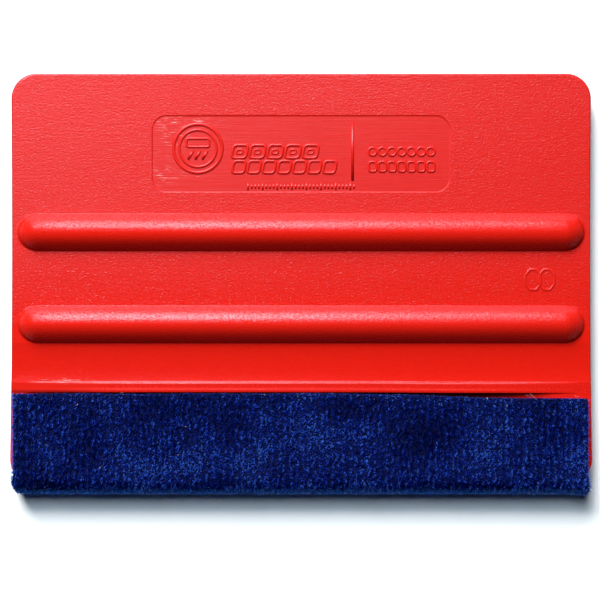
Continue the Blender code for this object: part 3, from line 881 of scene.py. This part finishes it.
# ---------------------------------------------------------------------------------------------
# Materials
# ---------------------------------------------------------------------------------------------
class Nodes:
    """Small wrapper that keeps node building readable."""

    def __init__(self, name):
        self.material = bpy.data.materials.new(name)
        self.material.use_nodes = True
        self.tree = self.material.node_tree
        self.shader = self.tree.nodes["Principled BSDF"]
        coordinates = self.tree.nodes.new("ShaderNodeTexCoord")
        self.position = self.mapped(coordinates.outputs["Object"], (1 / MM, 1 / MM, 1 / MM))

    def link(self, source, target):
        """Connect an output socket, or set a plain value."""
        if isinstance(source, bpy.types.NodeSocket):
            self.tree.links.new(source, target)
        else:
            target.default_value = source

    def mapped(self, vector, scale, rotation=(0.0, 0.0, 0.0)):
        """Scaled coordinates."""
        node = self.tree.nodes.new("ShaderNodeMapping")
        self.link(vector, node.inputs["Vector"])
        node.inputs["Scale"].default_value = scale
        node.inputs["Rotation"].default_value = rotation
        return node.outputs["Vector"]

    def noise(self, stretch, scale, detail=2.0, roughness=0.5, distortion=0.0):
        """Noise in millimetres; stretch is the relative length of its features along X, Y, Z."""
        node = self.tree.nodes.new("ShaderNodeTexNoise")
        self.link(self.mapped(self.position, tuple(1 / s for s in stretch)), node.inputs["Vector"])
        node.inputs["Scale"].default_value = scale
        node.inputs["Detail"].default_value = detail
        node.inputs["Roughness"].default_value = roughness
        node.inputs["Distortion"].default_value = distortion
        return node.outputs["Fac"]

    def math(self, operation, a, b=0.0, clamp=False):
        """One math node."""
        node = self.tree.nodes.new("ShaderNodeMath")
        node.operation = operation
        node.use_clamp = clamp
        self.link(a, node.inputs[0])
        self.link(b, node.inputs[1])
        return node.outputs[0]

    def ramp(self, value, low, high, to_low=0.0, to_high=1.0):
        """Linear map with clamping."""
        node = self.tree.nodes.new("ShaderNodeMapRange")
        node.clamp = True
        self.link(value, node.inputs["Value"])
        self.link(low, node.inputs["From Min"])
        self.link(high, node.inputs["From Max"])
        self.link(to_low, node.inputs["To Min"])
        self.link(to_high, node.inputs["To Max"])
        return node.outputs["Result"]

    def mix(self, factor, a, b):
        """Blend two colours."""
        node = self.tree.nodes.new("ShaderNodeMix")
        node.data_type = "RGBA"
        self.link(factor, node.inputs["Factor"])
        self.link(a if not isinstance(a, tuple) else (*a, 1.0), node.inputs["A"])
        self.link(b if not isinstance(b, tuple) else (*b, 1.0), node.inputs["B"])
        return node.outputs["Result"]

    def attribute(self, name):
        """A per-vertex number."""
        node = self.tree.nodes.new("ShaderNodeAttribute")
        node.attribute_name = name
        return node.outputs["Fac"]

    def bump(self, height, distance, strength=1.0, normal=None):
        """Bump from a height in 0..1; distance is in millimetres."""
        node = self.tree.nodes.new("ShaderNodeBump")
        self.link(height, node.inputs["Height"])
        self.link(strength, node.inputs["Strength"])
        node.inputs["Distance"].default_value = distance * MM
        if normal is not None:
            self.link(normal, node.inputs["Normal"])
        return node.outputs["Normal"]


def red_plastic():
    """Moulded red plastic: fine spark-eroded grain, smoother ribs, polished recess, scuffs."""
    n = Nodes("red_plastic")
    grain = n.attribute("grain")
    recess = n.attribute("recess")
    matt = n.attribute("matt")
    rib = n.attribute("rib")
    skin = n.noise((0.92, 0.85, 1.0), 2.6, detail=3.0, roughness=0.65, distortion=0.1)
    drawn = n.noise((5.0, 0.75, 1.0), 2.5, detail=2.0, roughness=0.6)
    wrinkle = n.math("ADD", n.math("MULTIPLY", skin, 0.74), n.math("MULTIPLY", drawn, 0.26))
    speck = n.noise((1.2, 1.0, 1.0), 3.6, detail=1.0, roughness=0.5)
    swell = n.noise((1.4, 1.0, 1.0), 0.16, detail=1.0)
    polish = n.noise((16.0, 0.35, 1.0), 1.9, detail=3.0, roughness=0.75)
    pit = n.ramp(speck, 0.62, 0.76)
    tone = n.ramp(n.noise((1.6, 1.0, 1.0), 0.9, detail=6.0, roughness=0.85), 0.36, 0.64)
    colour = n.mix(tone, (0.494, 0.0076, 0.0032), (0.534, 0.0086, 0.0036))
    colour = n.mix(n.math("MULTIPLY", matt, 0.5), colour, (0.445, 0.0076, 0.0032))
    # Painted shade: the grain's valleys are darkened in colour.
    valley_shade = n.ramp(wrinkle, 0.38, 0.56, 0.12, 0.0)
    colour = n.mix(n.math("MULTIPLY", valley_shade, grain), colour, (0.27, 0.002, 0.001))
    # Painted shade: the brushed lines of the recess are darkened in colour.
    groove_shade = n.math("MULTIPLY", n.ramp(polish, 0.40, 0.60, 0.15, 0.0), recess)
    colour = n.mix(groove_shade, colour, (0.27, 0.002, 0.001))
    dashes = n.ramp(n.noise((4.0, 0.38, 1.0), 2.6, detail=2.0, roughness=0.6), 0.58, 0.62)
    patch = n.ramp(n.noise((1.5, 0.8, 1.0), 0.6, detail=1.0), 0.42, 0.58)
    scuffs = n.math("MULTIPLY", n.math("MULTIPLY", dashes, patch), n.attribute("scuff"))
    colour = n.mix(scuffs, colour, (0.66, 0.36, 0.35))
    # Painted reflection: the ribs' upper flanks are paled.
    flank = n.math("MULTIPLY", n.attribute("flank"), 0.45)
    colour = n.mix(flank, colour, (0.534, 0.030, 0.034))
    # Painted shade: near-black red in the gap under the stop ridge, at its left foot, on the side edges and on
    # the upper rib's lower flank.
    colour = n.mix(n.attribute("dark"), colour, (0.018, 0.0008, 0.0006))
    n.link(colour, n.shader.inputs["Base Color"])
    rough_skin = n.ramp(matt, 0.0, 1.0, 0.22, 0.385)
    rough = n.math("ADD", rough_skin, n.ramp(wrinkle, 0.3, 0.7, -0.04, 0.05))
    rough = n.math("ADD", rough, n.math("MULTIPLY", recess, 0.04))
    n.link(rough, n.shader.inputs["Roughness"])
    sparkle = n.noise((1.3, 1.0, 1.0), 3.2, detail=1.0, roughness=0.7)
    glint = n.math("SUBTRACT", n.ramp(sparkle, 0.3, 0.7, 0.2, 1.8), 1.0)
    sparkling = n.math("MULTIPLY", grain, n.ramp(matt, 0.3, 1.0, 1.0, 0.28))
    fleck = n.noise((1.2, 1.0, 1.0), 3.8, detail=1.0, roughness=0.7)
    rib_glint = n.math("MULTIPLY", n.ramp(fleck, 0.36, 0.64, -0.55, 0.70), rib)
    glint = n.math("ADD", n.math("MULTIPLY", glint, sparkling), rib_glint)
    glint = n.math("ADD", glint, 1.0)
    gloss = n.math("MULTIPLY", n.attribute("gloss"), glint)
    n.link(gloss, n.shader.inputs["Specular IOR Level"])
    n.shader.inputs["Specular Tint"].default_value = (0.77, 0.82, 1.0, 1.0)
    normal = n.bump(swell, 0.05, strength=n.ramp(rib, 0.0, 1.0, 0.6, 0.1))
    normal = n.bump(wrinkle, 0.110, strength=grain, normal=normal)
    normal = n.bump(pit, 0.025, strength=n.ramp(grain, 0.0, 1.0, 0.15, 1.0), normal=normal)
    normal = n.bump(polish, 0.036, strength=recess, normal=normal)
    normal = n.bump(sparkle, 0.035, strength=rib, normal=normal)
    n.link(normal, n.shader.inputs["Normal"])
    return n.material


def velour_ground():
    """Packed pile between the tufts, near-black blue as painted shade deep in the pile."""
    n = Nodes("velour_ground")
    tone = n.ramp(n.noise((1.0, 1.0, 1.0), 2.2, detail=3.0), 0.35, 0.7)
    # Painted shade: near-black blue.
    n.link(n.mix(tone, (0.0006, 0.0014, 0.014), (0.002, 0.006, 0.05)), n.shader.inputs["Base Color"])
    n.link(0.9, n.shader.inputs["Roughness"])
    n.link(0.1, n.shader.inputs["Specular IOR Level"])
    n.link(n.bump(n.noise((1.0, 1.0, 1.0), 5.0, detail=2.0), 0.08), n.shader.inputs["Normal"])
    return n.material


def velour_pile():
    """Blue pile: painted shade at the root, brighter and slightly glossy towards the tips, with a painted
    highlight on the brightest tips and painted rim light.
    """
    n = Nodes("velour_pile")
    height = n.attribute("pile_height")
    shade = n.attribute("pile_shade")
    mottle = n.ramp(n.noise((1.0, 1.3, 1.0), 0.35, detail=2.0), 0.3, 0.7)
    bright = n.math("POWER", shade, 1.7)
    tip = n.mix(bright, (0.0002, 0.0004, 0.025), (0.0065, 0.043, 0.57))
    # Painted highlight: the brightest tips turn paler.
    tip = n.mix(n.ramp(shade, 0.66, 1.0), tip, (0.018, 0.094, 0.50))
    tip = n.mix(n.math("MULTIPLY", mottle, 0.12), tip, (0.003, 0.013, 0.22))
    # Painted rim light.
    tip = n.mix(n.math("MULTIPLY", n.attribute("pile_rim_light"), 0.9), tip, (0.045, 0.25, 1.0))
    tip = n.mix(n.math("MULTIPLY", n.attribute("pile_pale"), 0.75), tip, (0.62, 0.46, 0.42))
    # Painted shade: near black at the root.
    colour = n.mix(n.ramp(height, 0.05, 0.9), (0.0001, 0.0002, 0.010), tip)
    n.link(colour, n.shader.inputs["Base Color"])
    n.link(0.38, n.shader.inputs["Roughness"])
    n.link(n.ramp(shade, 0.40, 1.0, 0.0, 0.28), n.shader.inputs["Specular IOR Level"])
    n.link(0.04, n.shader.inputs["Sheen Weight"])
    n.link(0.35, n.shader.inputs["Sheen Roughness"])
    n.shader.inputs["Sheen Tint"].default_value = (0.10, 0.22, 1.0, 1.0)
    fuzz = n.noise((1.0, 1.0, 1.0), 9.0, detail=1.0)
    n.link(n.bump(fuzz, 0.03), n.shader.inputs["Normal"])
    return n.material


def adhesive_film():
    """Cloudy double-sided film: milky, with faint rolled streaks."""
    n = Nodes("adhesive_film")
    cloud = n.ramp(n.noise((1.0, 1.0, 1.0), 0.6, detail=3.0), 0.3, 0.7)
    streak = n.noise((12.0, 0.6, 1.0), 1.5, detail=2.0)
    n.link(n.mix(cloud, (0.62, 0.60, 0.52), (0.74, 0.72, 0.65)), n.shader.inputs["Base Color"])
    n.link(n.ramp(streak, 0.3, 0.7, 0.22, 0.36), n.shader.inputs["Roughness"])
    n.link(n.bump(streak, 0.02), n.shader.inputs["Normal"])
    return n.material


def pale_floor():
    """Plain pale table."""
    n = Nodes("pale_floor")
    tone = n.noise((1.0, 1.0, 1.0), 0.02, detail=2.0)
    colour = n.mix(n.ramp(tone, 0.3, 0.7), (0.965, 0.965, 0.965), (0.985, 0.985, 0.985))
    n.link(colour, n.shader.inputs["Base Color"])
    n.link(0.9, n.shader.inputs["Roughness"])
    n.link(0.2, n.shader.inputs["Specular IOR Level"])
    return n.material


# ---------------------------------------------------------------------------------------------
# Stage
# ---------------------------------------------------------------------------------------------
def make_floor():
    """A large pale table just under the lowest point."""
    bpy.ops.mesh.primitive_plane_add(size=1.3, location=(0.0, 0.0, CAD_BOUNDS[0][2]))
    floor = bpy.context.object
    floor.name = "table"
    floor.data.materials.append(pale_floor())


def area_light(name, direction, distance, size, energy, colour):
    """A soft rectangular light aimed at the object; direction is (azimuth, elevation) in degrees."""
    azimuth, elevation = (math.radians(angle) for angle in direction)
    away = Vector((
        math.sin(azimuth) * math.cos(elevation),
        math.cos(azimuth) * math.cos(elevation),
        math.sin(elevation),
    ))
    light = bpy.data.lights.new(name, "AREA")
    light.shape = "RECTANGLE"
    light.size, light.size_y = size
    light.energy = energy
    light.color = colour
    lamp = bpy.data.objects.new(name, light)
    bpy.context.scene.collection.objects.link(lamp)
    lamp.location = away * distance
    lamp.rotation_euler = away.to_track_quat("Z", "Y").to_euler()
    return lamp


def make_lights():
    """Soft key from the upper left, a bluish light above it, a low one behind it, weak surround."""
    area_light("key", (-21.0, 44.5), 0.68, (0.34, 0.26), 6.55, (1.0, 0.985, 0.965))
    sky = area_light("sky", (-17.0, 63.0), 0.68, (0.34, 0.36), 2.80, (0.70, 0.87, 1.0))
    sky.visible_glossy = False
    area_light("low", (-14.0, 30.0), 0.80, (0.64, 0.30), 6.2, (1.0, 1.0, 1.0))
    world = bpy.data.worlds.new("surround")
    world.use_nodes = True
    tree = world.node_tree
    surround = tree.nodes["Background"]
    surround.inputs["Color"].default_value = (0.50, 0.66, 1.0, 1.0)
    surround.inputs["Strength"].default_value = 0.012
    backdrop = tree.nodes.new("ShaderNodeBackground")
    backdrop.inputs["Color"].default_value = (0.86, 0.88, 0.90, 1.0)
    chooser = tree.nodes.new("ShaderNodeMixShader")
    ray = tree.nodes.new("ShaderNodeLightPath")
    tree.links.new(ray.outputs["Is Camera Ray"], chooser.inputs["Fac"])
    tree.links.new(surround.outputs["Background"], chooser.inputs[1])
    tree.links.new(backdrop.outputs["Background"], chooser.inputs[2])
    tree.links.new(chooser.outputs["Shader"], tree.nodes["World Output"].inputs["Surface"])
    bpy.context.scene.world = world


def make_camera():
    """Straight down on the front face, level with the middle of the object."""
    lens = bpy.data.cameras.new("camera")
    lens.lens = 120.0
    lens.sensor_width = 36.0
    camera = bpy.data.objects.new("camera", lens)
    bpy.context.scene.collection.objects.link(camera)
    view_width = 105.06
    distance = view_width / 2 / math.tan(lens.angle / 2)
    top_face = CARD_ORIGIN.z + HALF_THICKNESS
    camera.location = Vector((-0.2, CARD_ORIGIN.y + 32.3, distance + top_face)) * MM
    camera.rotation_euler = (0.0, 0.0, 0.0)
    bpy.context.scene.camera = camera
    bpy.context.scene.view_settings.view_transform = "Standard"


def main():
    """Build the looks round the frame."""
    plastic = red_plastic()
    card = make_card(plastic)
    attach(card, BODY)
    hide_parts("squeegee_card")
    marks = make_marks(plastic)
    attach(marks, BODY)
    make_strip()
    film = bpy.data.objects["adhesive_film"]
    film.data.materials.clear()
    film.data.materials.append(adhesive_film())
    make_floor()
    make_lights()
    make_camera()


main()
